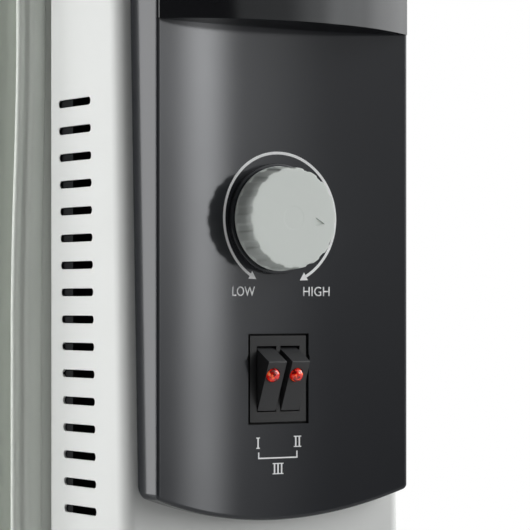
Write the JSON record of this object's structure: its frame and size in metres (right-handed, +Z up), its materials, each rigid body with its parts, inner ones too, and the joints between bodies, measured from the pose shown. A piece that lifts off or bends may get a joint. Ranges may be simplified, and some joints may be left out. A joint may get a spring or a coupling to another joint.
{
  "type": "oil filled radiator heater",
  "caption": "Free-standing oil filled radiator heater: pressed steel fins, a vented white casing with a black control panel, a grip handle on top and castors below.",
  "frame": {"origin": "on the floor, under the middle of the whole heater's box", "axes": "+Z up, -Y the way the control panel faces, X across the heater"},
  "size_m": [0.246, 0.4074, 0.6536],
  "materials": {
    "fin_paint": "semi-gloss grey-white stove enamel",
    "casing_paint": "semi-gloss white stove enamel",
    "panel_gloss": "gloss black moulded plastic",
    "castor_black": "fine grained black plastic",
    "wheel_black": "plain black nylon",
    "dark_plastic": "fine grained dark grey plastic",
    "knob_grey": "satin light grey plastic",
    "lens_red": "clear red lamp lens",
    "moulded_cream": "heatproof cream moulding",
    "black_rubber": "plain black rubber",
    "plain_brass": "plain turned brass",
    "zinc_steel": "zinc plated steel"
  },
  "bodies": {
    "radiator": {"casing_back_plate": "zinc_steel", "casing_bottom_cover": "dark_plastic", "casing_screw_1": "zinc_steel", "casing_screw_2": "zinc_steel", "casing_screw_3": "zinc_steel", "casing_screw_4": "zinc_steel", "control_casing": "casing_paint", "control_panel": "panel_gloss", "element_gasket": "black_rubber", "fin_1": "fin_paint", "fin_2": "fin_paint", "fin_3": "fin_paint", "fin_4": "fin_paint", "fin_5": "fin_paint", "fin_6": "fin_paint", "fin_7": "fin_paint", "fin_8": "fin_paint", "fin_9": "fin_paint", "foot_bracket_front": "casing_paint", "foot_bracket_rear": "casing_paint", "header_lower": "fin_paint", "header_upper": "fin_paint", "heating_element": "zinc_steel", "lead_inlet_bush": "black_rubber", "mounting_plate": "zinc_steel", "oil_filler_plug": "plain_brass", "switch_housing": "dark_plastic", "terminal_block": "moulded_cream", "thermal_cut_out": "dark_plastic", "thermostat_body": "moulded_cream", "thermostat_nut": "plain_brass", "tip_over_switch": "dark_plastic", "top_handle": "panel_gloss", "u_bolt_front": "zinc_steel", "u_bolt_rear": "zinc_steel", "wing_nut_front_1": "zinc_steel", "wing_nut_front_2": "zinc_steel", "wing_nut_rear_1": "zinc_steel", "wing_nut_rear_2": "zinc_steel"},
    "knob": {"thermostat_knob": "knob_grey", "thermostat_shaft": "zinc_steel"},
    "rocker_1": {"rocker_1": "dark_plastic", "rocker_lens_1": "lens_red"},
    "rocker_2": {"rocker_2": "dark_plastic", "rocker_lens_2": "lens_red"},
    "swivel_front_1": {"castor_fork_front_1": "castor_black", "castor_axle_front_1": "zinc_steel"},
    "wheel_front_1": {"castor_wheel_front_1": "wheel_black"},
    "swivel_front_2": {"castor_fork_front_2": "castor_black", "castor_axle_front_2": "zinc_steel"},
    "wheel_front_2": {"castor_wheel_front_2": "wheel_black"},
    "swivel_rear_1": {"castor_fork_rear_1": "castor_black", "castor_axle_rear_1": "zinc_steel"},
    "wheel_rear_1": {"castor_wheel_rear_1": "wheel_black"},
    "swivel_rear_2": {"castor_fork_rear_2": "castor_black", "castor_axle_rear_2": "zinc_steel"},
    "wheel_rear_2": {"castor_wheel_rear_2": "wheel_black"}
  },
  "joints": [
    {"name": "knob_turn", "type": "hinge", "parent": "radiator", "child": "knob", "pos_m": [-0.0018, -0.18703, 0.4886], "axis": [0, -1, 0], "range_deg": [-62, 238]},
    {"name": "rocker_1_tilt", "type": "hinge", "parent": "radiator", "child": "rocker_1", "pos_m": [-0.00495, -0.17973, 0.4316], "axis": [-1, 0, 0], "range_deg": [0, 20]},
    {"name": "rocker_2_tilt", "type": "hinge", "parent": "radiator", "child": "rocker_2", "pos_m": [0.00495, -0.17973, 0.4316], "axis": [-1, 0, 0], "range_deg": [0, 20]},
    {"name": "castor_front_1_swivel", "type": "hinge", "parent": "radiator", "child": "swivel_front_1", "pos_m": [-0.105, -0.09783, 0.0643], "axis": [0, 0, 1], "continuous": true},
    {"name": "wheel_front_1_spin", "type": "hinge", "parent": "swivel_front_1", "child": "wheel_front_1", "pos_m": [-0.105, -0.11083, 0.02256], "axis": [1, 0, 0], "continuous": true},
    {"name": "castor_front_2_swivel", "type": "hinge", "parent": "radiator", "child": "swivel_front_2", "pos_m": [0.105, -0.09783, 0.0643], "axis": [0, 0, 1], "continuous": true},
    {"name": "wheel_front_2_spin", "type": "hinge", "parent": "swivel_front_2", "child": "wheel_front_2", "pos_m": [0.105, -0.11083, 0.02256], "axis": [1, 0, 0], "continuous": true},
    {"name": "castor_rear_1_swivel", "type": "hinge", "parent": "radiator", "child": "swivel_rear_1", "pos_m": [-0.105, 0.16817, 0.0643], "axis": [0, 0, 1], "continuous": true},
    {"name": "wheel_rear_1_spin", "type": "hinge", "parent": "swivel_rear_1", "child": "wheel_rear_1", "pos_m": [-0.105, 0.18117, 0.02256], "axis": [1, 0, 0], "continuous": true},
    {"name": "castor_rear_2_swivel", "type": "hinge", "parent": "radiator", "child": "swivel_rear_2", "pos_m": [0.105, 0.16817, 0.0643], "axis": [0, 0, 1], "continuous": true},
    {"name": "wheel_rear_2_spin", "type": "hinge", "parent": "swivel_rear_2", "child": "wheel_rear_2", "pos_m": [0.105, 0.18117, 0.02256], "axis": [1, 0, 0], "continuous": true}
  ]
}
